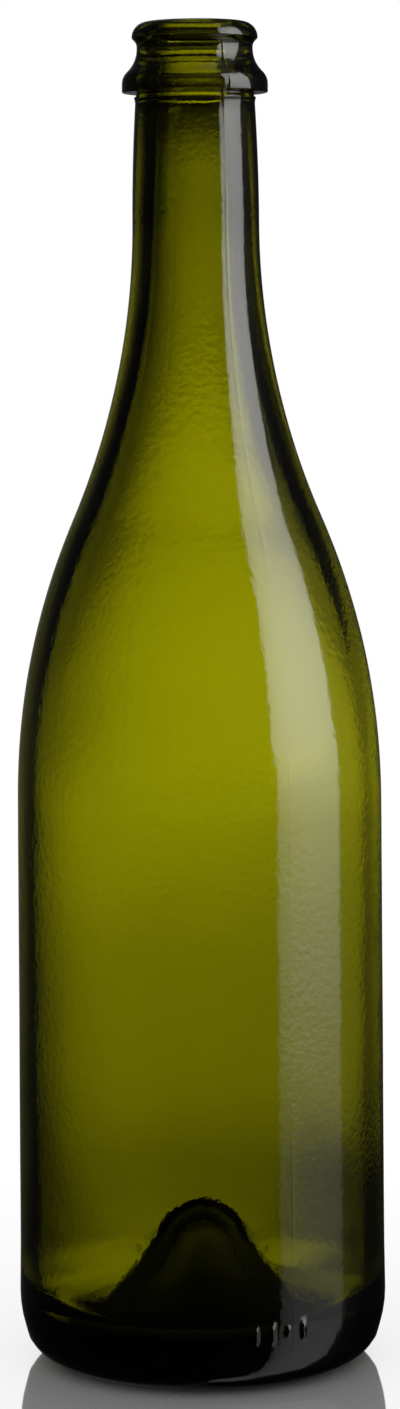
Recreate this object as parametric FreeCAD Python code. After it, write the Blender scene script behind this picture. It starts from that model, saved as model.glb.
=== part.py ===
import FreeCAD, Part
import math
import os

# Empty sparkling wine bottle: one piece of moulded green glass, turned about the Z axis.
# It has a crown finish at the mouth with a ring for the wire below it, a gently swelling
# neck, a long sloping shoulder, a label panel set back a little from the heel, and a deep
# bell-shaped punt. It stands on z = 0, on the bearing ring around the mouth of the punt.
# Lengths are millimetres and angles are degrees.

# Overall
OVERALL_HEIGHT = 305.0
PANEL_DIAMETER = 83.5          # label panel, the long straight part of the body

# Crown finish, which hangs from the lip downwards
BEAD_DIAMETER = 29.0
BEAD_TOP_RADIUS = 3.6          # rounding over the top of the bead
BEAD_LAND = 0.2                # straight side of the bead, down to its lower edge
BEAD_EDGE_RADIUS = 0.4
UNDERCUT_ANGLE = 43.0          # slope under the bead, from the vertical
UNDERCUT_FILLET = 2.0
WAIST_STEP = 1.15              # how far the waist is set in from the bead
WAIST_LAND = 1.2               # straight part of the waist
WAIST_RADIUS = 7.2             # hollow from the waist down to the ring
RING_STEP = 3.45               # how far the wire ring stands out from the waist
RING_TOP_RADIUS = 4.0
RING_LAND = 2.05               # straight side of the ring, down to its flat underside
RING_EDGE_RADIUS = 0.4

# Below the ring: a recess that lets the wire bite, then the line where the moulds met
RECESS_STEP = 0.46             # how far the recess is set in from the mould line
RECESS_HEIGHT = 0.7
RECESS_CORNER_RADIUS = 0.35
MOULD_LINE_HEIGHT = 0.4
MOULD_LINE_FILLET = 3.6
MOULD_LINE_RISE = 1.3          # height of the fillet that swells out to the mould line

# Neck and shoulder
NECK_STEP = 0.47               # how far the top of the neck stands out from the waist
NECK_SWELL_RADIUS = 470.0
NECK_LENGTH = 27.2             # down to where the neck opens into the shoulder
SHOULDER_HOLLOW_RADIUS = 172.0
SHOULDER_ROUND_RADIUS = 161.5

# Heel and base
HEEL_STEP = 0.125              # the heel stands proud of the panel and guards the label
HEEL_TAPER_HEIGHT = 10.0
HEEL_UPPER_RADIUS = 25.5
HEEL_UPPER_TURN = 23.0
HEEL_CORNER_RADIUS = 6.8
HEEL_CORNER_TURN = 34.4
BASE_RADIUS = 12.0             # last bend, which runs level into the bearing ring
BEARING_WIDTH = 2.5

# Punt, on its underside
PUNT_EDGE_RADIUS = 3.0
PUNT_DEPTH = 29.8
PUNT_TIP_RADIUS = 6.2
PUNT_FLARE_RADIUS = 36.8
PUNT_SIDE_LEAN = 23.6          # steepest part of the bell, from the vertical

# Thickness of the glass, and the cavity
PUNT_WALL = 5.2
HEEL_INNER_RADIUS = 9.0
WALL_AT_HEEL = 4.3
WALL_AT_SHOULDER = 3.7
WALL_AT_NECK_BASE = 4.5
BORE_DIAMETER = 17.8
BORE_LENGTH = 20.0             # the straight part, which holds the stopper
BORE_END_RADIUS = 60.0
LIP_INNER_RADIUS = 1.6

# Radii of the finish, worked out from the bead
BEAD_RADIUS = BEAD_DIAMETER / 2
NARROW_RADIUS = BEAD_RADIUS - WAIST_STEP
RING_RADIUS = NARROW_RADIUS + RING_STEP
NECK_TOP_RADIUS = NARROW_RADIUS + NECK_STEP
PANEL_RADIUS = PANEL_DIAMETER / 2


def at(radius, height):
    """Point of the outline, in the half-plane that is turned about Z."""
    return FreeCAD.Vector(radius, 0, height)


def toward(degrees, length=1.0):
    """Step of a length at an angle that counts from outward up to +Z."""
    turn = math.radians(degrees)
    return at(length * math.cos(turn), length * math.sin(turn))


def angle_of(centre, point):
    return math.degrees(math.atan2(point.z - centre.z, point.x - centre.x))


def below_touching(side_radius, round_radius, other_centre, other_radius):
    """Centre of the circle that rounds a vertical side into the hollow circle above it.

    It touches the side from within, and the other circle from outside and below.
    """
    centre_radius = side_radius - round_radius
    across = other_centre.x - centre_radius
    drop = math.sqrt((round_radius + other_radius) ** 2 - across ** 2)
    return at(centre_radius, other_centre.z - drop)


class Outline:
    """Chain of straight edges and arcs, drawn from one point to the next."""

    def __init__(self, start):
        self.end = start
        self.edges = []

    def line(self, point):
        self.edges.append(Part.makeLine(self.end, point))
        self.end = point

    def arc(self, centre, radius, start_angle, end_angle):
        """Arc about a centre, reached by a straight edge if it starts further on."""
        start = centre + toward(start_angle, radius)
        middle = centre + toward((start_angle + end_angle) / 2, radius)
        stop = centre + toward(end_angle, radius)
        if start.distanceToPoint(self.end) > 1e-6:
            self.line(start)
        self.edges.append(Part.Arc(start, middle, stop).toShape())
        self.end = stop

    def corner(self, point, following, radius):
        """Straight edge towards a point, rounded off on the way to the following one."""
        back = (self.end - point).normalize()
        ahead = (following - point).normalize()
        half = back.getAngle(ahead) / 2
        inward = (back + ahead).normalize()
        start = point + back * (radius / math.tan(half))
        stop = point + ahead * (radius / math.tan(half))
        middle = point + inward * (radius / math.sin(half) - radius)
        self.line(start)
        self.edges.append(Part.Arc(start, middle, stop).toShape())
        self.end = stop


def lip_roundings():
    """Radii over the bead and into the bore, no larger than the lip has room for."""
    lip_width = BEAD_RADIUS - BORE_DIAMETER / 2
    share = min(1.0, lip_width / (BEAD_TOP_RADIUS + LIP_INNER_RADIUS))
    return share * BEAD_TOP_RADIUS, share * LIP_INNER_RADIUS


def bead_edge():
    """Lower edge of the bead, which a crown cap is crimped under."""
    top_radius, bore_radius = lip_roundings()
    return at(BEAD_RADIUS, OVERALL_HEIGHT - top_radius - BEAD_LAND)


def waist_foot():
    """Corner where the slope under the bead would meet the straight waist."""
    drop = WAIST_STEP / math.tan(math.radians(UNDERCUT_ANGLE))
    return bead_edge() - at(WAIST_STEP, drop)


def finish_centres():
    """Centres of the hollow of the waist and of the rounded top of the ring."""
    waist = waist_foot() + at(WAIST_RADIUS, -WAIST_LAND)
    ring_top = below_touching(RING_RADIUS, RING_TOP_RADIUS, waist, WAIST_RADIUS)
    return waist, ring_top


def neck_top():
    waist, ring_top = finish_centres()
    underside = ring_top.z - RING_LAND
    return at(NECK_TOP_RADIUS, underside - RECESS_HEIGHT - MOULD_LINE_HEIGHT - MOULD_LINE_RISE)


def neck_base():
    sweep = math.asin(NECK_LENGTH / NECK_SWELL_RADIUS)
    swell = NECK_SWELL_RADIUS * (1 - math.cos(sweep))
    return neck_top() + at(swell, -NECK_LENGTH)


def heel_centres():
    """Centres of the three bends that run from the bearing ring up to the heel."""
    to_corner = toward(-HEEL_UPPER_TURN, HEEL_UPPER_RADIUS - HEEL_CORNER_RADIUS)
    corner_angle = -HEEL_UPPER_TURN - HEEL_CORNER_TURN
    to_base = toward(corner_angle, HEEL_CORNER_RADIUS - BASE_RADIUS)
    heel_radius = PANEL_RADIUS + HEEL_STEP
    upper = at(heel_radius - HEEL_UPPER_RADIUS, BASE_RADIUS - to_base.z - to_corner.z)
    corner = upper + to_corner
    base = corner + to_base
    return base, corner, upper


def punt_centres():
    """Centres of the tip, the flare and the edge of the punt's underside."""
    base, corner, upper = heel_centres()
    tip = at(0, PUNT_DEPTH - PUNT_TIP_RADIUS)
    flare = tip + toward(PUNT_SIDE_LEAN, PUNT_TIP_RADIUS + PUNT_FLARE_RADIUS)
    edge = at(base.x - BEARING_WIDTH, PUNT_EDGE_RADIUS)
    return tip, flare, edge


def punt_cone_angle():
    """Direction in which the glass lies behind the straight cone of the punt."""
    tip, flare, edge = punt_centres()
    reach = edge.distanceToPoint(flare)
    turn = math.degrees(math.acos((PUNT_FLARE_RADIUS - PUNT_EDGE_RADIUS) / reach))
    return angle_of(edge, flare) - turn


def draw_punt_underside(outline):
    """The bell from its tip down to the edge, where it turns onto the bearing ring."""
    tip, flare, edge = punt_centres()
    cone = punt_cone_angle() + 180
    outline.arc(tip, PUNT_TIP_RADIUS, 90, PUNT_SIDE_LEAN)
    outline.arc(flare, PUNT_FLARE_RADIUS, PUNT_SIDE_LEAN + 180, cone)
    outline.arc(edge, PUNT_EDGE_RADIUS, cone, 270)


def draw_base_and_heel(outline):
    base, corner, upper = heel_centres()
    upper_angle = -HEEL_UPPER_TURN
    corner_angle = upper_angle - HEEL_CORNER_TURN
    outline.arc(base, BASE_RADIUS, -90, corner_angle)
    outline.arc(corner, HEEL_CORNER_RADIUS, corner_angle, upper_angle)
    outline.arc(upper, HEEL_UPPER_RADIUS, upper_angle, 0)
    outline.line(at(PANEL_RADIUS, upper.z + HEEL_TAPER_HEIGHT))


def draw_shoulder_and_neck(outline):
    hollow = neck_base() + at(SHOULDER_HOLLOW_RADIUS, 0)
    hollow_radius = SHOULDER_HOLLOW_RADIUS
    rounded = below_touching(PANEL_RADIUS, SHOULDER_ROUND_RADIUS, hollow, hollow_radius)
    join = angle_of(rounded, hollow)
    outline.arc(rounded, SHOULDER_ROUND_RADIUS, 0, join)
    outline.arc(hollow, hollow_radius, join + 180, 180)
    swell = neck_base() - at(NECK_SWELL_RADIUS, 0)
    outline.arc(swell, NECK_SWELL_RADIUS, 0, angle_of(swell, neck_top()))


def draw_ring(outline):
    """Mould line, recess and ring, up to the rounded top of the ring."""
    waist, ring_top = finish_centres()
    climb = math.degrees(math.asin(MOULD_LINE_RISE / MOULD_LINE_FILLET))
    outline.arc(neck_top() + at(MOULD_LINE_FILLET, 0), MOULD_LINE_FILLET, 180, 180 - climb)
    recess = outline.end + at(-RECESS_STEP, MOULD_LINE_HEIGHT)
    outline.line(recess)
    rim = at(RING_RADIUS, ring_top.z - RING_LAND)
    outline.corner(at(recess.x, rim.z), rim, RECESS_CORNER_RADIUS)
    outline.corner(rim, at(RING_RADIUS, ring_top.z), RING_EDGE_RADIUS)


def draw_crown_finish(outline):
    """Top of the ring, waist, undercut and bead, and over the lip into the mouth."""
    waist, ring_top = finish_centres()
    join = angle_of(ring_top, waist)
    outline.arc(ring_top, RING_TOP_RADIUS, 0, join)
    outline.arc(waist, WAIST_RADIUS, join + 180, 180)
    outline.corner(waist_foot(), bead_edge(), UNDERCUT_FILLET)
    outline.corner(bead_edge(), at(BEAD_RADIUS, OVERALL_HEIGHT), BEAD_EDGE_RADIUS)
    top_radius, bore_radius = lip_roundings()
    top = at(BEAD_RADIUS - top_radius, OVERALL_HEIGHT - top_radius)
    outline.arc(top, top_radius, 0, 90)
    mouth = at(BORE_DIAMETER / 2 + bore_radius, OVERALL_HEIGHT - bore_radius)
    outline.arc(mouth, bore_radius, 90, 180)


def draw_bore_and_cavity_shoulder(outline):
    """Bore, then a cone that runs off it into the hollow of the cavity's shoulder."""
    hollow = neck_base() + at(SHOULDER_HOLLOW_RADIUS, 0)
    hollow_radius = SHOULDER_HOLLOW_RADIUS + WALL_AT_NECK_BASE
    bore_end = at(BORE_DIAMETER / 2, OVERALL_HEIGHT - BORE_LENGTH)
    reach = hollow.distanceToPoint(bore_end)
    leave = angle_of(hollow, bore_end) + math.degrees(math.acos(hollow_radius / reach))
    outline.corner(bore_end, hollow + toward(leave, hollow_radius), BORE_END_RADIUS)
    wall_radius = PANEL_RADIUS - WALL_AT_SHOULDER
    round_radius = SHOULDER_ROUND_RADIUS - WALL_AT_SHOULDER
    rounded = below_touching(wall_radius, round_radius, hollow, hollow_radius)
    join = angle_of(rounded, hollow)
    outline.arc(hollow, hollow_radius, leave, join + 180)
    outline.arc(rounded, round_radius, join, 0)


def draw_cavity_base(outline):
    """Inner heel, rounded into the cone of the punt, and the inner face of the punt."""
    tip, flare, edge = punt_centres()
    cone_angle = punt_cone_angle()
    behind = toward(cone_angle)
    cone_point = edge + behind * (PUNT_WALL - PUNT_EDGE_RADIUS)
    heel_radius = PANEL_RADIUS - WALL_AT_HEEL - HEEL_INNER_RADIUS
    sideways = (heel_radius - cone_point.x) * behind.x
    heel = at(heel_radius, cone_point.z + (HEEL_INNER_RADIUS - sideways) / behind.z)
    outline.arc(heel, HEEL_INNER_RADIUS, 0, cone_angle - 180)
    flare_radius = PUNT_FLARE_RADIUS - PUNT_WALL
    outline.arc(flare, flare_radius, cone_angle + 180, PUNT_SIDE_LEAN + 180)
    outline.arc(tip, PUNT_TIP_RADIUS + PUNT_WALL, PUNT_SIDE_LEAN, 90)


def make_bottle():
    start = at(0, PUNT_DEPTH)
    outline = Outline(start)
    draw_punt_underside(outline)
    draw_base_and_heel(outline)
    draw_shoulder_and_neck(outline)
    draw_ring(outline)
    draw_crown_finish(outline)
    draw_bore_and_cavity_shoulder(outline)
    draw_cavity_base(outline)
    outline.line(start)
    section = Part.Face(Part.Wire(outline.edges))
    return section.revolve(FreeCAD.Vector(0, 0, 0), FreeCAD.Vector(0, 0, 1), 360)


os.makedirs("parts", exist_ok=True)
make_bottle().exportStep("parts/bottle.step")
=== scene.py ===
# %% [markdown]
# # An olive green sparkling wine bottle
#
# An empty bottle stands open on a glossy white table. It is one piece of glass, blown in
# two iron moulds: a small one shaped the mouth and the neck's ring first, and the body was
# then blown out against a tall mould in two halves, with a plate under it that pushed up
# the punt. Almost all that the eye reads in such a bottle is light that has gone through
# it, so the walls have to be as thick as real ones and the light has to come from behind.

# %% Load the model that the piece has to fit
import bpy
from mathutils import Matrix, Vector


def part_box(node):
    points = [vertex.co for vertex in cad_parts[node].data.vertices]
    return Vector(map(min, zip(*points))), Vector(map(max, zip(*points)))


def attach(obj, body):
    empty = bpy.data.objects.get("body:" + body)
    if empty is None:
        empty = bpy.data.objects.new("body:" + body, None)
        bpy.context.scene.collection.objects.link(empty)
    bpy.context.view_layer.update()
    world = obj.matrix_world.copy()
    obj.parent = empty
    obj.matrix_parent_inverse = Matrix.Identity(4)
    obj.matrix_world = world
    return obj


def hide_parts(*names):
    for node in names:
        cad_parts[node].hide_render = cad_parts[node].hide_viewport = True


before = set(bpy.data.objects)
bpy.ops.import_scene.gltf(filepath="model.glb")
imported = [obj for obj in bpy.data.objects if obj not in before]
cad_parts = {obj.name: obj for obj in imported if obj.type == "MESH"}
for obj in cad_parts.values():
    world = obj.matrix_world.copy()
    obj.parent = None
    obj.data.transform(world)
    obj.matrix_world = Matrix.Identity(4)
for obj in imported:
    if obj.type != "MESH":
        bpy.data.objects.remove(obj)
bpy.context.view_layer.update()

# %% Libraries and units
import cmath
import math
import bmesh
import bpy
from mathutils import Matrix, Vector, noise

MM = 0.001
MILLILITRE = 1e-6
bottle_low, bottle_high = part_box("bottle")
print("bottle height in mm", round((bottle_high.z - bottle_low.z) / MM, 2))
print("bottle width in mm", round((bottle_high.x - bottle_low.x) / MM, 2))

# %% [markdown]
# ## The outline of the glass
#
# A bottle is round about its axis, so half of its section says everything. It could be
# drawn as a list of points, but a mould maker draws it as straight runs and arcs that
# carry on from one another. A walker does the same here: it stands at the tip of the punt,
# faces outwards, and each step goes straight, turns round an arc, or turns on the spot.
# Spinning one point about the arc's centre leaves the arc behind it. A mould maker gives
# radii, steps and heights, so these are named, and the lengths and turns with which each
# arc meets the next one smoothly are worked out from them.

# %% Points and directions in the half section
# A point is a complex number: its radius and, as the imaginary part, its height, in mm.
def toward(degrees):
    """A step of one millimetre, at an angle that counts from outwards up to upright."""
    return cmath.rect(1.0, math.radians(degrees))


def direction(step):
    """The angle of a step in degrees."""
    return math.degrees(cmath.phase(step))


def centre_below(side_radius, rounding, hollow_centre, hollow):
    """Centre of the arc that rounds an upright side into the hollow arc above it."""
    centre_radius = side_radius - rounding
    across = hollow_centre.real - centre_radius
    drop = math.sqrt((rounding + hollow) ** 2 - across ** 2)
    return complex(centre_radius, hollow_centre.imag - drop)


print("straight up is", direction(1j), "degrees")

# %% The crown finish, measured down from the lip
HEIGHT = 305.0
BEAD_RADIUS, BEAD_SIDE = 14.5, 0.2
BEAD_TOP_ROUND, BEAD_EDGE_ROUND = 3.6, 0.4
UNDERCUT, UNDERCUT_FILLET = 43.0, 2.0
WAIST_STEP, WAIST_SIDE, WAIST_HOLLOW = 1.15, 1.2, 7.2
RING_STEP, RING_SIDE = 3.45, 2.05
RING_TOP_ROUND, RING_EDGE_ROUND = 4.0, 0.4
LIP_ROUND, BORE_RADIUS = 1.6, 8.9

waist_radius = BEAD_RADIUS - WAIST_STEP
ring_radius = waist_radius + RING_STEP
undercut_drop = WAIST_STEP / math.tan(math.radians(UNDERCUT))
waist_top = HEIGHT - BEAD_TOP_ROUND - BEAD_SIDE - undercut_drop
waist_centre = complex(waist_radius + WAIST_HOLLOW, waist_top - WAIST_SIDE)
ring_centre = centre_below(ring_radius, RING_TOP_ROUND, waist_centre, WAIST_HOLLOW)
ring_turn = direction(waist_centre - ring_centre)
cut_off = math.tan(math.radians(UNDERCUT / 2))
crown_finish = [
    ("line", RING_SIDE - RING_EDGE_ROUND),
    ("arc", RING_TOP_ROUND, ring_turn),
    ("arc", WAIST_HOLLOW, -ring_turn),
    ("line", WAIST_SIDE - UNDERCUT_FILLET * cut_off),
    ("arc", UNDERCUT_FILLET, -UNDERCUT),
    (
        "line",
        WAIST_STEP / math.sin(math.radians(UNDERCUT))
        - (UNDERCUT_FILLET + BEAD_EDGE_ROUND) * cut_off,
    ),
    ("arc", BEAD_EDGE_ROUND, UNDERCUT),
    ("line", BEAD_SIDE - BEAD_EDGE_ROUND * cut_off),
    ("arc", BEAD_TOP_ROUND, 90.0),
    ("line", BEAD_RADIUS - BEAD_TOP_ROUND - LIP_ROUND - BORE_RADIUS),
    ("arc", LIP_ROUND, 90.0),
]
print("the ring's top turns by", round(ring_turn, 2), "degrees into the waist")

# %% The mould line and the recess under the ring
RECESS_STEP, RECESS_HEIGHT, RECESS_CORNER = 0.46, 0.7, 0.35
MOULD_LINE_HEIGHT, MOULD_LINE_FILLET, MOULD_LINE_RISE = 0.4, 3.6, 1.3
NECK_STEP = 0.47

ring_foot = ring_centre.imag - RING_SIDE
neck_top = complex(
    waist_radius + NECK_STEP,
    ring_foot - RECESS_HEIGHT - MOULD_LINE_HEIGHT - MOULD_LINE_RISE,
)
climb = math.degrees(math.asin(MOULD_LINE_RISE / MOULD_LINE_FILLET))
swell_out = MOULD_LINE_FILLET * (1 - math.cos(math.radians(climb)))
recess_radius = neck_top.real + swell_out - RECESS_STEP
set_back = complex(-RECESS_STEP, MOULD_LINE_HEIGHT)
neck_seam_and_ring = [
    ("arc", MOULD_LINE_FILLET, -climb),
    ("turn", direction(set_back) - 90 + climb),
    ("line", abs(set_back)),
    ("turn", 90 - direction(set_back)),
    ("line", RECESS_HEIGHT - RECESS_CORNER),
    ("arc", RECESS_CORNER, -90.0),
    ("line", ring_radius - RING_EDGE_ROUND - recess_radius - RECESS_CORNER),
    ("arc", RING_EDGE_ROUND, 90.0),
]
print("top of the neck, radius and height:", neck_top)

# %% The heel, up from the bearing ring
PANEL_RADIUS, HEEL_STEP, HEEL_TAPER_HEIGHT = 41.75, 0.125, 10.0
HEEL_UPPER_RADIUS, HEEL_UPPER_TURN = 25.5, 23.0
HEEL_CORNER_RADIUS, HEEL_CORNER_TURN = 6.8, 34.4
BASE_RADIUS, BEARING_WIDTH = 12.0, 2.5

heel_turn = HEEL_UPPER_TURN + HEEL_CORNER_TURN
to_corner = (HEEL_UPPER_RADIUS - HEEL_CORNER_RADIUS) * toward(-HEEL_UPPER_TURN)
to_base = (HEEL_CORNER_RADIUS - BASE_RADIUS) * toward(-heel_turn)
heel_centre = complex(
    PANEL_RADIUS + HEEL_STEP - HEEL_UPPER_RADIUS,
    BASE_RADIUS - to_base.imag - to_corner.imag,
)
base_centre = heel_centre + to_corner + to_base
taper = complex(-HEEL_STEP, HEEL_TAPER_HEIGHT)
base_and_heel = [
    ("line", BEARING_WIDTH),
    ("arc", BASE_RADIUS, 90 - heel_turn),
    ("arc", HEEL_CORNER_RADIUS, HEEL_CORNER_TURN),
    ("arc", HEEL_UPPER_RADIUS, HEEL_UPPER_TURN),
    ("turn", direction(taper) - 90),
    ("line", abs(taper)),
    ("turn", 90 - direction(taper)),
]
print("bearing ring, outer radius in mm", round(base_centre.real, 3))

# %% The underside of the punt, from its tip down
PUNT_TIP_HEIGHT, PUNT_TIP_ROUND = 29.8, 6.2
PUNT_FLARE, PUNT_EDGE_ROUND = 36.8, 3.0
PUNT_SIDE_LEAN = 23.6

tip_centre = complex(0, PUNT_TIP_HEIGHT - PUNT_TIP_ROUND)
flare_centre = tip_centre + (PUNT_TIP_ROUND + PUNT_FLARE) * toward(PUNT_SIDE_LEAN)
edge_centre = complex(base_centre.real - BEARING_WIDTH, PUNT_EDGE_ROUND)
to_flare = flare_centre - edge_centre
spare = PUNT_FLARE - PUNT_EDGE_ROUND
punt_cone = direction(to_flare) - math.degrees(math.acos(spare / abs(to_flare)))
punt_underside = [
    ("arc", PUNT_TIP_ROUND, PUNT_SIDE_LEAN - 90),
    ("arc", PUNT_FLARE, punt_cone - PUNT_SIDE_LEAN),
    ("line", math.sqrt(abs(to_flare) ** 2 - spare ** 2)),
    ("arc", PUNT_EDGE_ROUND, 90 - punt_cone),
]
print("the cone of the punt leans by", round(punt_cone, 2), "degrees")

# %% The body, the shoulder and the neck
SHOULDER_ROUND, SHOULDER_HOLLOW = 161.5, 172.0
NECK_SWELL, NECK_LENGTH = 470.0, 27.2

neck_sweep = math.degrees(math.asin(NECK_LENGTH / NECK_SWELL))
neck_swell_out = NECK_SWELL * (1 - math.cos(math.radians(neck_sweep)))
neck_base = neck_top + complex(neck_swell_out, -NECK_LENGTH)
hollow_centre = neck_base + SHOULDER_HOLLOW
shoulder_centre = centre_below(PANEL_RADIUS, SHOULDER_ROUND, hollow_centre, SHOULDER_HOLLOW)
shoulder_turn = direction(hollow_centre - shoulder_centre)
body_shoulder_and_neck = [
    ("line", shoulder_centre.imag - heel_centre.imag - HEEL_TAPER_HEIGHT),
    ("arc", SHOULDER_ROUND, shoulder_turn),
    ("arc", SHOULDER_HOLLOW, -shoulder_turn),
    ("arc", NECK_SWELL, neck_sweep),
    ("turn", -neck_sweep),
]
print("the shoulder starts at", round(shoulder_centre.imag, 2), "mm")

# %% The bore and the shoulder of the cavity
BORE_LENGTH, BORE_END_ROUND = 20.0, 60.0
WALL_AT_NECK_BASE, WALL_AT_SHOULDER = 4.5, 3.7

inner_hollow = SHOULDER_HOLLOW + WALL_AT_NECK_BASE
inner_round = SHOULDER_ROUND - WALL_AT_SHOULDER
inner_side = PANEL_RADIUS - WALL_AT_SHOULDER
inner_centre = centre_below(inner_side, inner_round, hollow_centre, inner_hollow)
inner_turn = direction(hollow_centre - inner_centre)
bore_end = complex(BORE_RADIUS, HEIGHT - BORE_LENGTH)
to_bore_end = bore_end - hollow_centre
leave = direction(to_bore_end) + math.degrees(math.acos(inner_hollow / abs(to_bore_end)))
bore_cone = hollow_centre + inner_hollow * toward(leave) - bore_end
bore_turn = direction(bore_cone) + 90
bore_cut_off = BORE_END_ROUND * math.tan(math.radians(bore_turn / 2))
bore_and_cavity_shoulder = [
    ("line", BORE_LENGTH - LIP_ROUND - bore_cut_off),
    ("arc", BORE_END_ROUND, bore_turn),
    ("line", abs(bore_cone) - bore_cut_off),
    ("arc", inner_hollow, inner_turn + 180 - leave),
    ("arc", inner_round, -inner_turn),
]
print("the bore opens by", round(bore_turn, 2), "degrees")

# %% The wall and the floor of the cavity
PUNT_WALL, WALL_AT_HEEL, HEEL_INNER_ROUND = 5.2, 4.3, 9.0

cone_normal = toward(punt_cone)
cone_point = edge_centre + cone_normal * (PUNT_WALL - PUNT_EDGE_ROUND)
channel_radius = PANEL_RADIUS - WALL_AT_HEEL - HEEL_INNER_ROUND
sideways = (channel_radius - cone_point.real) * cone_normal.real
channel_centre = complex(
    channel_radius, cone_point.imag + (HEEL_INNER_ROUND - sideways) / cone_normal.imag
)
wall = channel_centre + HEEL_INNER_ROUND - complex(inner_side, inner_centre.imag)
wall_lean = direction(wall) + 90
inner_flare = PUNT_FLARE - PUNT_WALL
cone_start = channel_centre - HEEL_INNER_ROUND * cone_normal
cone_stop = flare_centre - inner_flare * cone_normal
cavity_base = [
    ("turn", wall_lean),
    ("line", abs(wall)),
    ("turn", -wall_lean),
    ("arc", HEEL_INNER_ROUND, punt_cone - 180),
    ("line", abs(cone_stop - cone_start)),
    ("arc", inner_flare, PUNT_SIDE_LEAN - punt_cone),
    ("arc", PUNT_TIP_ROUND + PUNT_WALL, 90 - PUNT_SIDE_LEAN),
]
print("the wall leans in by", round(-wall_lean, 3), "degrees")

# %% Walk the outline
# The longest and the shortest step in millimetres, and the most that one turns in degrees.
MOST_STEP, LEAST_STEP = 2.9, 0.12
MOST_TURN = 7.5


def walk(mesh, steps, vertex, heading):
    """Carries the outline on from a vertex and returns the new last vertex and heading."""
    for kind, size, *turn in steps:
        if kind == "turn":
            heading += math.radians(size)
        elif kind == "line":
            ahead = Vector((math.cos(heading), 0, math.sin(heading)))
            pieces = max(1, math.ceil(size / MOST_STEP))
            for _ in range(pieces):
                made = bmesh.ops.extrude_vert_indiv(mesh, verts=[vertex])
                vertex = made["verts"][0]
                vertex.co += ahead * size * MM / pieces
        else:
            angle = math.radians(turn[0])
            side = math.copysign(1, angle)
            to_centre = Vector((-math.sin(heading), 0, math.cos(heading))) * side
            length = abs(angle) * size
            pieces = max(math.ceil(length / MOST_STEP), math.ceil(abs(turn[0]) / MOST_TURN))
            pieces = min(pieces, math.ceil(length / LEAST_STEP))
            made = bmesh.ops.spin(
                mesh, geom=[vertex], cent=vertex.co + to_centre * size * MM,
                axis=(0, -1, 0), angle=angle, steps=pieces, use_merge=False,
            )
            vertex = [v for v in made["geom_last"] if isinstance(v, bmesh.types.BMVert)][0]
            heading += angle
    return vertex, heading


print("an arc of 30 degrees has steps:", math.ceil(30 / MOST_TURN), "or more")

# %% Draw the outline, section by section
# Each vertex keeps the number of its section, which says later how the glass was shaped there.
SECTIONS = {
    "punt underside": punt_underside,
    "base and heel": base_and_heel,
    "body": body_shoulder_and_neck,
    "ring": neck_seam_and_ring,
    "crown": crown_finish,
    "cavity": bore_and_cavity_shoulder,
    "cavity base": cavity_base,
}
section_names = list(SECTIONS)

glass = bmesh.new()
section_of = glass.verts.layers.int.new("section")
tip = glass.verts.new((0, 0, PUNT_TIP_HEIGHT * MM))
heading = 0.0
for number, name in enumerate(section_names):
    before = len(glass.verts)
    tip, heading = walk(glass, SECTIONS[name], tip, heading)
    glass.verts.ensure_lookup_table()
    for vertex in glass.verts[before:]:
        vertex[section_of] = number
print("outline ends at, mm:", [round(value / MM, 3) for value in tip.co])
print("rows in the outline", len(glass.verts))
# The walk comes home to within a hair of the axis, and its last point is set on it.
tip.co.x = 0.0

# %% [markdown]
# ## Round about the axis
#
# One full turn of the outline makes the bottle. The body mould opens in two halves, and the
# molten glass creeps a hair into the gap between them, so two fine seams run up opposite
# sides. A seam is under a millimetre wide, narrower than the steps round the rest of the
# bottle, so the turn is made in five goes: short steps across each seam and long ones
# between. The first and last columns fall on each other and are merged.

# %% Spin the outline
SEAM_AZIMUTH = math.radians(28.6)
SEAM_HALF_ANGLE = 1.5
SEAM_STEPS = 5
OPEN_STEPS = 104
MERGE_DISTANCE = 0.003 * MM

# The spin starts in the middle of a seam, so the outline is turned there first.
rows = list(glass.verts) + list(glass.edges)
to_seam = Matrix.Rotation(SEAM_AZIMUTH - math.radians(90), 4, "Z")
bmesh.ops.transform(glass, matrix=to_seam, verts=glass.verts)
for turn, steps in (
    (SEAM_HALF_ANGLE, SEAM_STEPS),
    (180 - 2 * SEAM_HALF_ANGLE, OPEN_STEPS),
    (2 * SEAM_HALF_ANGLE, 2 * SEAM_STEPS),
    (180 - 2 * SEAM_HALF_ANGLE, OPEN_STEPS),
    (SEAM_HALF_ANGLE, SEAM_STEPS),
):
    spun = bmesh.ops.spin(
        glass, geom=rows, cent=(0, 0, 0), axis=(0, 0, 1),
        angle=math.radians(turn), steps=steps, use_merge=False,
    )
    rows = spun["geom_last"]
bmesh.ops.remove_doubles(glass, verts=glass.verts, dist=MERGE_DISTANCE)
bmesh.ops.recalc_face_normals(glass, faces=glass.faces)
print("faces", len(glass.faces), "volume in ml", round(glass.calc_volume() / MILLILITRE, 1))

# %% [markdown]
# ## Room for the mould code
#
# The heel carries a row of small raised marks at the front and another at the back. Their
# edges fall away over half a millimetre, finer than the faces of the rest of the bottle. The
# whole bottle could be made of finer faces, but only the strips under the marks need them,
# so only their edges are cut in three.

# %% Finer faces where the mould code stands
CODE_LOW, CODE_HIGH = 10.6 * MM, 16.9 * MM
CODE_HALF_ANGLE = math.radians(47)


def azimuth_of_point(point):
    """Angle round the axis: 0 at the front, positive towards the right."""
    return math.atan2(point.x, -point.y)


def under_code(face):
    """Whether a face of the heel lies under the front or the back row of marks."""
    middle = face.calc_center_median()
    from_front = abs(azimuth_of_point(middle))
    return (
        all(v[section_of] == section_names.index("base and heel") for v in face.verts)
        and CODE_LOW < middle.z < CODE_HIGH
        and min(from_front, math.pi - from_front) < CODE_HALF_ANGLE
    )


code_faces = [face for face in glass.faces if under_code(face)]
print("faces under the mould code", len(code_faces))
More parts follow.
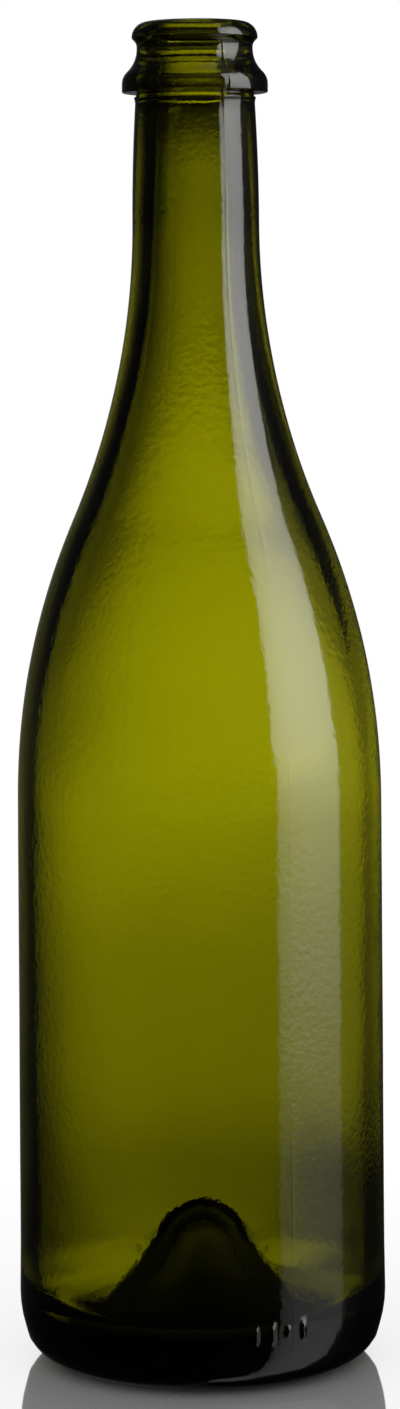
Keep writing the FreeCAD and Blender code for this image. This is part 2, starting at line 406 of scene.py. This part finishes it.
# A dictionary keeps each edge once and in order, so that every run cuts them alike.
code_edges = list(dict.fromkeys(edge for face in code_faces for edge in face.edges))
bmesh.ops.subdivide_edges(glass, edges=code_edges, cuts=2, use_grid_fill=True)
print("faces in all", len(glass.faces))

# %% [markdown]
# ## What the moulds leave on the glass
#
# Glass that is blown against iron is never quite even. Its outside has a faint orange peel,
# its inside, which touched nothing but air, rolls in longer waves, the two body halves and
# the base plate leave hairline ridges, and a row of dots and bars at the heel tells the
# works which mould a bottle came from. All this could be a bump in the material, but
# ridges that bend light and show at the edge have to be real, so the vertices are moved.

# %% Soft edges for ridges and marks
MARK_EDGE = 0.55 * MM


def bell_curve(distance, half_width):
    """1 at the middle, falling smoothly to 0 at the half width."""
    share = min(abs(distance) / half_width, 1.0)
    return 0.5 + 0.5 * math.cos(math.pi * share)


def flat_top(distance, half_length):
    """1 over a mark's flat length, falling smoothly to 0 over its edge."""
    return bell_curve(max(abs(distance) - half_length, 0.0), MARK_EDGE)


print("half way down a mark's edge", flat_top(MARK_EDGE / 2, 0.0))

# %% The mould code
# A dot and a bar, each as its half width and half height in millimetres, with gaps between.
DOT, BAR = (0.25, 0.25), (0.3, 1.55)
GAP = None
front_marks = [DOT, DOT, BAR, DOT, GAP, GAP, BAR, DOT, DOT, BAR, BAR, DOT, BAR]
back_marks = [BAR, DOT, BAR, GAP, DOT, DOT, DOT, BAR]
MARK_PITCH = 3.9 * MM
MARK_LIFT = 0.34 * MM
CODE_MIDDLE = 13.9 * MM
HALF_WAY_ROUND = math.pi * 40.9 * MM


def row_of_marks(along, up, marks):
    """How far a row of marks stands out at a place, from 0 to 1."""
    most = 0.0
    for number, mark in enumerate(marks):
        if mark is GAP:
            continue
        half_width, half_height = mark
        beside = along - (number - (len(marks) - 1) / 2) * MARK_PITCH
        most = max(most, flat_top(beside, half_width * MM) * flat_top(up, half_height * MM))
    return most


def mould_code(around, up):
    """How far the code stands out at a length round the heel and a height, in metres."""
    from_back = math.copysign(HALF_WAY_ROUND - abs(around), around)
    front = row_of_marks(around, up, front_marks)
    return MARK_LIFT * max(front, row_of_marks(from_back, up, back_marks))


print("marks round the heel", sum(mark is not GAP for mark in front_marks + back_marks))

# %% The seams
# For each section of the outside: the seam's height and half width in millimetres.
SEAMS = {
    "base and heel": (0.035, 0.5),
    "body": (0.035, 0.5),
    "ring": (0.16, 0.5),
    "crown": (0.11, 0.42),
}
BURR_LENGTH = 2.6 * MM
BURR_SHARE = 0.6
SEAM_TOP = 300 * MM
SEAM_BOTTOM = 5 * MM


def seam(point, radius, name):
    """How far a seam stands out at a point of a section, in metres, with a ragged crest."""
    height, half_width = SEAMS[name]
    gap = math.remainder(azimuth_of_point(point) - SEAM_AZIMUTH, math.pi) * radius
    burr = BURR_SHARE * (1 + noise.noise(point / BURR_LENGTH))
    return height * MM * burr * bell_curve(gap, half_width * MM)


print("seams stand out, mm:", {name: height for name, (height, _) in SEAMS.items()})

# %% Waves, ridges and marks together
LONG_WAVE, SHORT_WAVE, DIMPLE = 34 * MM, 13 * MM, 5 * MM
SHORT_WAVE_SHARE = 0.4
INSIDE_WAVES, OUTSIDE_WAVES, PUNT_DIMPLES = 0.16 * MM, 0.05 * MM, 0.12 * MM
CALM_RADIUS = 20 * MM
CALM_PUNT_HEIGHT = 8 * MM
CALM_BASE_HEIGHT = 6 * MM
FINISH_SHARE = 0.5
PLATE_RIDGE, PLATE_RIDGE_HALF_WIDTH, PLATE_RIDGE_HEIGHT = 0.14 * MM, 0.8 * MM, 4.96 * MM


def lift_of(vertex):
    """How far a vertex moves out along its normal, in metres."""
    name = section_names[vertex[section_of]]
    point = vertex.co
    radius = math.hypot(point.x, point.y)
    waves = noise.noise(point / LONG_WAVE) + SHORT_WAVE_SHARE * noise.noise(point / SHORT_WAVE)
    if name in ("cavity", "cavity base"):
        return INSIDE_WAVES * waves * min(1.0, radius / CALM_RADIUS)
    if name == "punt underside":
        return PUNT_DIMPLES * noise.noise(point / DIMPLE) * min(1.0, point.z / CALM_PUNT_HEIGHT)
    lift = -OUTSIDE_WAVES * (1 + waves) if point.z > CALM_BASE_HEIGHT else 0.0
    if name in ("crown", "ring"):
        return FINISH_SHARE * lift + seam(point, radius, name) * (point.z < SEAM_TOP)
    if point.z > SEAM_BOTTOM:
        lift += seam(point, radius, name)
    if name == "base and heel":
        lift += PLATE_RIDGE * bell_curve(point.z - PLATE_RIDGE_HEIGHT, PLATE_RIDGE_HALF_WIDTH)
        if CODE_LOW < point.z < CODE_HIGH:
            lift += mould_code(azimuth_of_point(point) * radius, point.z - CODE_MIDDLE)
    return lift


glass.normal_update()
moves = [(vertex, vertex.normal * lift_of(vertex)) for vertex in glass.verts]
for vertex, move in moves:
    vertex.co += move
print("longest move in mm", round(max(move.length for _, move in moves) / MM, 3))

# %% Stipple of the bearing ring
# The ring that the bottle stands on comes rough from the mould, so that it does not scratch.
BEARING_INNER, BEARING_OUTER = 28.3 * MM, 30.8 * MM
GROUND_GAP = 0.02 * MM
STIPPLE_HEIGHT, STIPPLE_LENGTH = 0.12 * MM, 1.1 * MM
for vertex in glass.verts:
    radius = math.hypot(vertex.co.x, vertex.co.y)
    if vertex.co.z < GROUND_GAP and BEARING_INNER < radius < BEARING_OUTER:
        vertex.co.z += STIPPLE_HEIGHT * (0.5 + 0.5 * noise.noise(vertex.co / STIPPLE_LENGTH))
print("volume with relief in ml", round(glass.calc_volume() / MILLILITRE, 1))

# %% Mark the dull underside
# A plunger pushed the punt up when the skin was already stiff, so this face came out dull.
dull = glass.verts.layers.float.new("plunger_mark")
for vertex in glass.verts:
    vertex[dull] = float(section_names[vertex[section_of]] == "punt underside")
print("dull vertices", sum(vertex[dull] for vertex in glass.verts))

# %% [markdown]
# ## Olive green container glass
#
# The glass is soda-lime with iron and chromium in it, melted, blown and cooled slowly. Its
# skin is fire polished: as smooth as a lens but for a faint orange peel from the iron. The
# colour could be a tint on the surface, but then a thin wall and a thick base would be
# equally green. Here it lies in the depth of the glass, which takes a share of the red and
# the green light with each millimetre and nearly all of the blue. So the walls turn olive
# and the thick heel, the punt and the edges go black by themselves.

# %% A hex colour in linear light
def to_linear(hex_colour):
    """An sRGB hex colour as the linear red, green, blue and alpha that Blender works in."""
    parts = [int(hex_colour[n:n + 2], 16) / 255 for n in (1, 3, 5)]
    return [c / 12.92 if c <= 0.04045 else ((c + 0.055) / 1.055) ** 2.4 for c in parts] + [1]


print("mid grey in linear light", [round(level, 3) for level in to_linear("#808080")])

# %% A node with its settings and links
# Inputs go by name, or by number where a node has several of one name: a Mix of plain numbers
# has its share at 0 and its two numbers at 2 and 3.
def add_node(tree, kind, inputs=None, **settings):
    """Adds a node. An input is a plain value, a socket, or a node that gives its first output."""
    node = tree.nodes.new("ShaderNode" + kind)
    for name, value in settings.items():
        setattr(node, name, value)
    for name, value in (inputs or {}).items():
        if isinstance(value, bpy.types.Node):
            value = value.outputs[0]
        if isinstance(value, bpy.types.NodeSocket):
            tree.links.new(value, node.inputs[name])
        else:
            node.inputs[name].default_value = value
    return node


def new_material(name):
    """An empty material and its node tree."""
    material = bpy.data.materials.new(name)
    material.use_nodes = True
    material.node_tree.nodes.clear()
    return material, material.node_tree


print("materials before the first is made", len(bpy.data.materials))

# %% A bmesh becomes an object
def as_piece(mesh, name, material):
    """Turns a bmesh into a smooth object of one material, with its place in its mesh."""
    data = bpy.data.meshes.new(name)
    mesh.to_mesh(data)
    mesh.free()
    data.shade_smooth()
    data.materials.append(material)
    piece = bpy.data.objects.new(name, data)
    bpy.context.scene.collection.objects.link(piece)
    return piece


# %% Glass
# The peel is 1.4 mm across and 0.03 mm deep, a little coarser than life, so that it shows.
PEEL_LENGTH, PEEL_DEPTH = 1.4 * MM, 0.03 * MM
SODA_LIME_IOR = 1.52
DULL_ROUGHNESS = 0.4
# One minus the tint is the rate at which the glass takes each colour, in every 1/990 m.
GLASS_TINT, LAYERS_PER_METRE = "#EEEE00", 990.0


def make_glass():
    """Clear, polished, slightly wavy skin round a green that deepens with thickness."""
    material, tree = new_material("olive_green_container_glass")
    place = add_node(tree, "TexCoord").outputs["Object"]
    peel = add_node(tree, "TexNoise", {"Vector": place, "Scale": 1 / PEEL_LENGTH, "Detail": 2.0})
    bump = add_node(tree, "Bump", {"Height": peel, "Strength": 1.0, "Distance": PEEL_DEPTH})
    mark = add_node(tree, "Attribute", attribute_name="plunger_mark").outputs["Fac"]
    rough = add_node(tree, "Math", {0: mark, 1: DULL_ROUGHNESS}, operation="MULTIPLY")
    skin = add_node(
        tree, "BsdfPrincipled",
        {
            "Base Color": to_linear("#FFFFFF"), "Roughness": rough, "IOR": SODA_LIME_IOR,
            "Transmission Weight": 1.0, "Normal": bump,
        },
    )
    depth = add_node(
        tree, "VolumeAbsorption", {"Color": to_linear(GLASS_TINT), "Density": LAYERS_PER_METRE}
    )
    add_node(tree, "OutputMaterial", {"Surface": skin, "Volume": depth})
    return material


bottle = as_piece(glass, "bottle_glass", make_glass())
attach(bottle, "root")
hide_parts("bottle")
print("faces of the bottle", len(bottle.data.polygons))

# %% [markdown]
# ## Light for dark glass
#
# Clear things are lit from behind: a glass of this colour shows almost nothing but what
# stands at its back. The usual set is a bright patch behind the bottle, black on both sides
# of it, which draws the dark edges, and a tall softbox to the right that leaves one long
# streak on the skin. It could be built from lamps and cards, but a wall of glass bends each
# ray several times and small lamps would give noise. So the set is written down instead as
# brightness by direction, in lists of stops: an angle, and how bright it is there. Degrees
# run round the upright axis, 0 is behind the bottle and 90 on its right. The camera itself
# finds plain white everywhere.

# %% Two helpers that read a direction or a place
def azimuth_of(tree, place):
    """Degrees round the upright axis: 0 behind the bottle and 90 to its right."""
    parts = add_node(tree, "SeparateXYZ", {0: place})
    angle = add_node(
        tree, "Math", {0: parts.outputs["X"], 1: parts.outputs["Y"]}, operation="ARCTAN2"
    )
    return add_node(tree, "Math", {0: angle}, operation="DEGREES")


def level_at(tree, value, stops):
    """The level that a list of stops gives at a value, with straight runs between stops."""
    low, high = stops[0][0], stops[-1][0]
    share = add_node(tree, "MapRange", {"Value": value, "From Min": low, "From Max": high})
    ramp = add_node(tree, "ValToRGB", {"Fac": share})
    elements = ramp.color_ramp.elements
    elements[0].position, elements[-1].position = 0.0, 1.0
    for at, _ in stops[1:-1]:
        elements.new((at - low) / (high - low))
    for element, (_, level) in zip(elements, stops):
        element.color = (level, level, level, 1)
    return ramp


print("a list may have up to 32 stops")

# %% The bright patch behind, seen through the glass
WORLD_AROUND = [
    (-180, 0.3), (-130, 0.3), (-105, 0.02), (-36, 0.02), (-28, 0.07), (-20, 0.24), (-13, 0.4),
    (-7.5, 0.6), (-2.5, 0.9), (2.5, 1.0), (8, 1.0), (13, 1.0), (20, 1.2), (28, 1.0), (40, 1.0),
    (50, 0.9), (70, 0.3), (180, 0.3),
]
# By the sine of the angle above the horizon: the patch ends at about 5 degrees.
PATCH_UP = [
    (-0.1, 0.56), (0.0, 0.53), (0.02, 0.49), (0.05, 0.48), (0.08, 0.44), (0.09, 0.1),
    (0.12, 0.03), (0.2, 0.01), (0.4, 0.01),
]

world = bpy.data.worlds.new("studio")
bpy.context.scene.world = world
world.use_nodes = True
sky = world.node_tree
sky.nodes.clear()
way = add_node(sky, "TexCoord").outputs["Generated"]
azimuth = azimuth_of(sky, way)
height = add_node(sky, "SeparateXYZ", {0: way}).outputs["Z"]
patch = level_at(sky, azimuth, WORLD_AROUND)
patch_up = level_at(sky, height, PATCH_UP)
print("brightest direction behind", max(WORLD_AROUND, key=lambda stop: stop[1])[0], "degrees")

# %% The softbox on the right
BOX_ACROSS = [
    (0, 0), (80.5, 0), (83, 0.72), (92, 0.86), (107, 1.0), (120, 0.96), (126, 0.8),
    (130, 0.58), (131, 0), (180, 0),
]
BOX_UP = [
    (-1, 0.08), (-0.7, 0.12), (-0.3, 0.12), (-0.255, 0.1), (-0.225, 0.08), (-0.195, 0.15),
    (-0.165, 0.3), (-0.135, 0.44), (-0.1, 0.54), (-0.06, 0.62), (-0.02, 0.72), (0.025, 0.84),
    (0.075, 0.91), (0.15, 0.98), (0.3, 1.0), (0.5, 0.9), (0.62, 0.75), (0.7, 0.02), (1, 0.02),
]
BOX_STRENGTH = 5.0
# The box leans: its upper part stands this many degrees further round.
BOX_LEAN = 2.5
LEAN_LOW, LEAN_HIGH = -0.02, 0.08

lean = add_node(
    sky, "MapRange",
    {"Value": height, "From Min": LEAN_LOW, "From Max": LEAN_HIGH, "To Max": BOX_LEAN},
    interpolation_type="SMOOTHSTEP",
)
box_azimuth = add_node(sky, "Math", {0: azimuth, 1: lean}, operation="SUBTRACT")
box_across = level_at(sky, box_azimuth, BOX_ACROSS)
box_up = level_at(sky, height, BOX_UP)
box_shape = add_node(sky, "Math", {0: box_across, 1: box_up}, operation="MULTIPLY")
softbox = add_node(sky, "Math", {0: box_shape, 1: BOX_STRENGTH}, operation="MULTIPLY")
print("softbox from", BOX_ACROSS[1][0], "to", BOX_ACROSS[-2][0], "degrees")

# %% The dim room, which the skin mirrors
ROOM_AROUND = [
    (-180, 0.01), (-120, 0.02), (-60, 0.025), (-30, 0.03), (-18, 0.05), (-8, 0.15), (-2, 0.1),
    (8, 0.03), (20, 0.02), (40, 0.02), (60, 0.04), (75, 0.1), (82, 0.2), (130, 0.04),
    (180, 0.012),
]
ROOM_UP = [(-1, 0.3), (-0.3, 0.3), (-0.05, 1.0), (1, 1.0)]

room_around = level_at(sky, azimuth, ROOM_AROUND)
room_up = level_at(sky, height, ROOM_UP)
room = add_node(sky, "Math", {0: room_around, 1: room_up}, operation="MULTIPLY")
print("room at most", max(level for _, level in ROOM_AROUND), "of white")

# %% Which ray finds which light
# Singular rays are the mirror images on the glass. Transmission rays have come through it,
# and are sorted out last, because they may count as mirror rays too. All others find white.
rays = add_node(sky, "LightPath").outputs
mirrored = add_node(sky, "Math", {0: softbox, 1: room}, operation="ADD")
behind = add_node(sky, "Math", {0: patch, 1: softbox}, operation="ADD")
through = add_node(sky, "Math", {0: behind, 1: patch_up}, operation="MULTIPLY")
on_skin = add_node(sky, "Mix", {0: rays["Is Singular Ray"], 2: 1.0, 3: mirrored})
found = add_node(sky, "Mix", {0: rays["Is Transmission Ray"], 2: on_skin, 3: through})
shine = add_node(sky, "Background", {"Color": to_linear("#FFFFFF"), "Strength": found})
add_node(sky, "OutputWorld", {"Surface": shine})
print("nodes in the world", len(sky.nodes))

# %% [markdown]
# ## The table
#
# The bottle stands on white acrylic, polished enough to hold its reflection. Seen through
# the lower half of the bottle, the table is most of the light there is: bright close round
# the foot, darker a hand's breadth away, and brighter again towards the horizon. That could
# be left to bounced light, but light through thick glass is slow to gather and stays noisy.
# So the table's glow is written down as the world's was: lists of stops round the bottle,
# one for each distance, and a list of levels by distance.

# %% The table's glow, round the bottle and by distance
HEEL_AROUND = [
    (-180, 0.03), (-114, 0.04), (-107, 0.6), (-100, 1.0), (-75, 1.0), (-60, 0.8), (-45, 1.0),
    (-28, 1.1), (-22, 0.85), (-16, 0.14), (18, 0.14), (30, 0.35), (60, 0.5), (95, 0.6),
    (105, 0.04), (180, 0.03),
]
BESIDE_AROUND = [
    (-180, 0.02), (-75, 0.02), (-60, 0.15), (-44, 0.5), (-34, 0.85), (-22, 1.0), (-12, 1.0),
    (-7, 0.3), (7, 0.3), (12, 0.78), (24, 0.85), (36, 0.25), (60, 0.05), (180, 0.02),
]
NEAR_AROUND = [
    (-180, 0.02), (-60, 0.005), (-44, 0.02), (-36, 0.15), (-28, 0.38), (-20, 0.7), (-13, 1.08),
    (-7.5, 1.1), (0, 0.92), (8, 0.85), (14, 0.5), (20, 0.35), (30, 0.16), (44, 0.02),
    (180, 0.02),
]
MIDDLE_AROUND = [
    (-180, 0.08), (-80, 0.02), (-60, 0.01), (-36, 0.04), (-28, 0.13), (-20, 0.57), (-13, 1.0),
    (-7.5, 1.17), (-2.5, 1.04), (5, 1.0), (13, 1.12), (20, 1.35), (28, 1.1), (36, 0.58),
    (44, 0.42), (54, 0.35), (100, 0.05), (180, 0.08),
]
FAR_AROUND = [
    (-180, 0.3), (-130, 0.3), (-105, 0.03), (-68, 0.03), (-36, 0.03), (-28, 0.08), (-20, 0.18),
    (-13, 0.35), (-7.5, 0.57), (-2.5, 0.87), (2.5, 1.0), (8, 1.0), (13, 1.05), (20, 1.25),
    (28, 0.95), (36, 0.58), (44, 0.5), (60, 0.3), (180, 0.3),
]
# Each list takes over from the one before it between two distances in metres.
TAKES_OVER = [
    (BESIDE_AROUND, 0.048, 0.056), (NEAR_AROUND, 0.085, 0.115), (MIDDLE_AROUND, 0.18, 0.29),
    (FAR_AROUND, 0.45, 1.9), (WORLD_AROUND, 20, 45),
]
TABLE_LEVEL = [
    (0, 0), (0.031, 0.0), (0.033, 1.2), (0.036, 1.25), (0.042, 1.15), (0.046, 0.9),
    (0.052, 0.8), (0.057, 0.7), (0.065, 0.56), (0.075, 0.46), (0.09, 0.38), (0.11, 0.33),
    (0.15, 0.29), (0.195, 0.29), (0.25, 0.37), (0.32, 0.43), (0.4, 0.45), (0.5, 0.46),
    (0.62, 0.54), (0.8, 0.66), (1.05, 0.78), (1.4, 0.93), (2, 1.05),
]
HORIZON_LEVEL = [(2, 1.0), (4, 1.0), (7, 0.84), (12, 0.69), (30, 0.54)]
print("the glow is darkest under the punt and brightest at", TABLE_LEVEL[3][0], "m")


# %% What the glass finds on the table
def table_glow(tree, place, distance):
    """An Emission for rays through the glass, by place on the table."""
    around = azimuth_of(tree, place)
    light = level_at(tree, around, HEEL_AROUND)
    for stops, start, end in TAKES_OVER:
        share = add_node(
            tree, "MapRange", {"Value": distance, "From Min": start, "From Max": end},
            interpolation_type="SMOOTHSTEP",
        )
        light = add_node(tree, "Mix", {0: share, 2: light, 3: level_at(tree, around, stops)})
    near = level_at(tree, distance, TABLE_LEVEL)
    far = level_at(tree, distance, HORIZON_LEVEL)
    level = add_node(tree, "Math", {0: near, 1: far}, operation="MULTIPLY")
    glow = add_node(tree, "Math", {0: light, 1: level}, operation="MULTIPLY")
    return add_node(tree, "Emission", {"Strength": glow})


print("distances at which the glow changes its list", [end for _, _, end in TAKES_OVER])

# %% White acrylic
# Acrylic is a dense white body under a polish. The eye gets a soft contact shadow from the body,
# deepened by painted shade where the painted glow below is left out near the foot, and the
# upside-down bottle from the polish, and further off both give way to white.
MIRROR_SHARE = 0.74
POLISH_ROUGHNESS = 0.05
# A painted glow on the table, no lamp: an emission that rises from nothing at the first distance
# from the axis to its full level at the second, in metres, so the table is painted darker close
# round the foot.
PAINTED_GLOW_LEVEL, PAINTED_GLOW_FROM, PAINTED_GLOW_TO = 0.22, 0.035, 0.25
WHITE_FROM, WHITE_TO = 0.6, 2.0
TABLE_HALF_SIZE = 30.0


def make_floor():
    """A polished white table that the glass sees by the lists of stops."""
    material, tree = new_material("white_acrylic")
    place = add_node(tree, "TexCoord").outputs["Object"]
    rays = add_node(tree, "LightPath").outputs
    flat = add_node(tree, "VectorMath", {0: place, 1: (1, 1, 0)}, operation="MULTIPLY")
    distance = add_node(tree, "VectorMath", {0: flat}, operation="LENGTH").outputs["Value"]
    body = add_node(tree, "BsdfDiffuse", {"Color": to_linear("#F0F0F0")})
    # Painted glow: an emission that brightens the table away from the foot and leaves painted
    # shade close to it.
    painted_glow = add_node(
        tree, "MapRange",
        {
            "Value": distance, "From Min": PAINTED_GLOW_FROM, "From Max": PAINTED_GLOW_TO,
            "To Max": PAINTED_GLOW_LEVEL,
        },
        interpolation_type="SMOOTHSTEP",
    )
    lift = add_node(tree, "Emission", {"Strength": painted_glow})
    body = add_node(tree, "AddShader", {0: body, 1: lift})
    polish = add_node(
        tree, "BsdfGlossy", {"Color": to_linear("#FFFFFF"), "Roughness": POLISH_ROUGHNESS}
    )
    near = add_node(tree, "MixShader", {0: MIRROR_SHARE, 1: body, 2: polish})
    sweep = add_node(tree, "Emission", {"Color": to_linear("#FFFFFF"), "Strength": 1.0})
    far_off = add_node(
        tree, "MapRange", {"Value": distance, "From Min": WHITE_FROM, "From Max": WHITE_TO},
        interpolation_type="SMOOTHSTEP",
    )
    table = add_node(tree, "MixShader", {0: far_off, 1: near, 2: sweep})
    clear = add_node(tree, "BsdfTransparent")
    glow = table_glow(tree, place, distance)
    seen = add_node(tree, "MixShader", {0: rays["Is Singular Ray"], 1: table, 2: clear})
    found = add_node(tree, "MixShader", {0: rays["Is Transmission Ray"], 1: seen, 2: glow})
    add_node(tree, "OutputMaterial", {"Surface": found})
    return material


ground = bmesh.new()
bmesh.ops.create_grid(ground, x_segments=1, y_segments=1, size=TABLE_HALF_SIZE)
floor = as_piece(ground, "floor", make_floor())
print("table across in m", floor.dimensions.x)

# %% [markdown]
# ## The flag
#
# A studio hangs a black card, a flag, where it wants less light. Without one the finish and
# the top of the neck, which are thin, would glow. The card is bent round the back of the
# neck and comes down on its right, and it dims only the rays that have come through the
# glass, so that it neither shows nor throws a shadow. It could be a darker band in the
# world, but the world is far off and has no height: only a card near the bottle can stop
# at the right place on it.

# %% Felt that dims what comes through the glass
# Felt gives back no light. Each level says how much still passes at a height in metres.
BEHIND_FINISH = [
    (0.27, 1), (0.277, 1), (0.2805, 0.75), (0.2835, 0.45), (0.286, 0.18), (0.289, 0.07),
    (0.296, 0.1), (0.299, 0.3), (0.34, 0.3),
]
RIGHT_OF_NECK = [(0.17, 1.0), (0.186, 1.0), (0.2, 0.6), (0.212, 0.12), (0.24, 0.1)]
# The part behind the finish gives way to the part on the right between these degrees.
WING_FROM, WING_TO = 15, 23


def make_flag():
    """Black felt that only rays from inside the glass take notice of."""
    material, tree = new_material("black_felt_flag")
    place = add_node(tree, "TexCoord").outputs["Object"]
    height = add_node(tree, "SeparateXYZ", {0: place}).outputs["Z"]
    rays = add_node(tree, "LightPath").outputs
    around = azimuth_of(tree, place)
    wing = add_node(
        tree, "MapRange", {"Value": around, "From Min": WING_FROM, "From Max": WING_TO},
        interpolation_type="SMOOTHSTEP",
    )
    behind = level_at(tree, height, BEHIND_FINISH)
    beside = level_at(tree, height, RIGHT_OF_NECK)
    passed = add_node(tree, "Mix", {0: wing, 2: behind, 3: beside})
    veil = add_node(tree, "BsdfTransparent", {"Color": passed})
    clear = add_node(tree, "BsdfTransparent")
    found = add_node(tree, "MixShader", {0: rays["Is Transmission Ray"], 1: clear, 2: veil})
    add_node(tree, "OutputMaterial", {"Surface": found})
    return material


print("the card is darkest at a height of", min(BEHIND_FINISH, key=lambda stop: stop[1])[0], "m")

# %% Bend the card round the bottle
FLAG_EDGE = (-0.075, 0.07)
FLAG_LOW, FLAG_HIGH = 0.165, 0.34
FLAG_BEND = 120
FLAG_STEPS = 24

card = bmesh.new()
low_corner = card.verts.new((*FLAG_EDGE, FLAG_LOW))
high_corner = card.verts.new((*FLAG_EDGE, FLAG_HIGH))
card.edges.new((low_corner, high_corner))
bmesh.ops.spin(
    card, geom=card.verts[:] + card.edges[:], cent=(0, 0, 0), axis=(0, 0, 1),
    angle=-math.radians(FLAG_BEND), steps=FLAG_STEPS, use_merge=False,
)
flag = as_piece(card, "flag", make_flag())
print("flag from the axis in mm", round(math.hypot(*FLAG_EDGE) / MM, 1))

# %% [markdown]
# ## The camera
#
# The camera stands a little under a metre away, level, at the height of the neck. A lens
# that looks down from there could be tilted, but then the bottle's sides would lean in, so
# the lens is shifted down instead, as on a view camera. The camera is rolled by a fraction
# of a degree, because a tripod is never quite upright.

# %% Camera
CAMERA_PLACE = (0, -0.88, 0.2376)
CAMERA_ROLL = 0.38
LENS, SENSOR = 97.93, 36
SHIFT_ACROSS, SHIFT_DOWN = 0.0026, 0.2762
NEAREST = 0.05

camera_data = bpy.data.cameras.new("camera")
camera = bpy.data.objects.new("camera", camera_data)
bpy.context.scene.collection.objects.link(camera)
camera.location = CAMERA_PLACE
camera.rotation_euler = (math.radians(90), math.radians(CAMERA_ROLL), 0)
camera_data.lens = LENS
camera_data.sensor_width = SENSOR
camera_data.shift_x = SHIFT_ACROSS
camera_data.shift_y = -SHIFT_DOWN
camera_data.clip_start = NEAREST
camera_data.clip_end = 2 * TABLE_HALF_SIZE
bpy.context.scene.camera = camera
bpy.context.scene.view_settings.view_transform = "Standard"
print("camera from the axis in m", -camera.location.y)
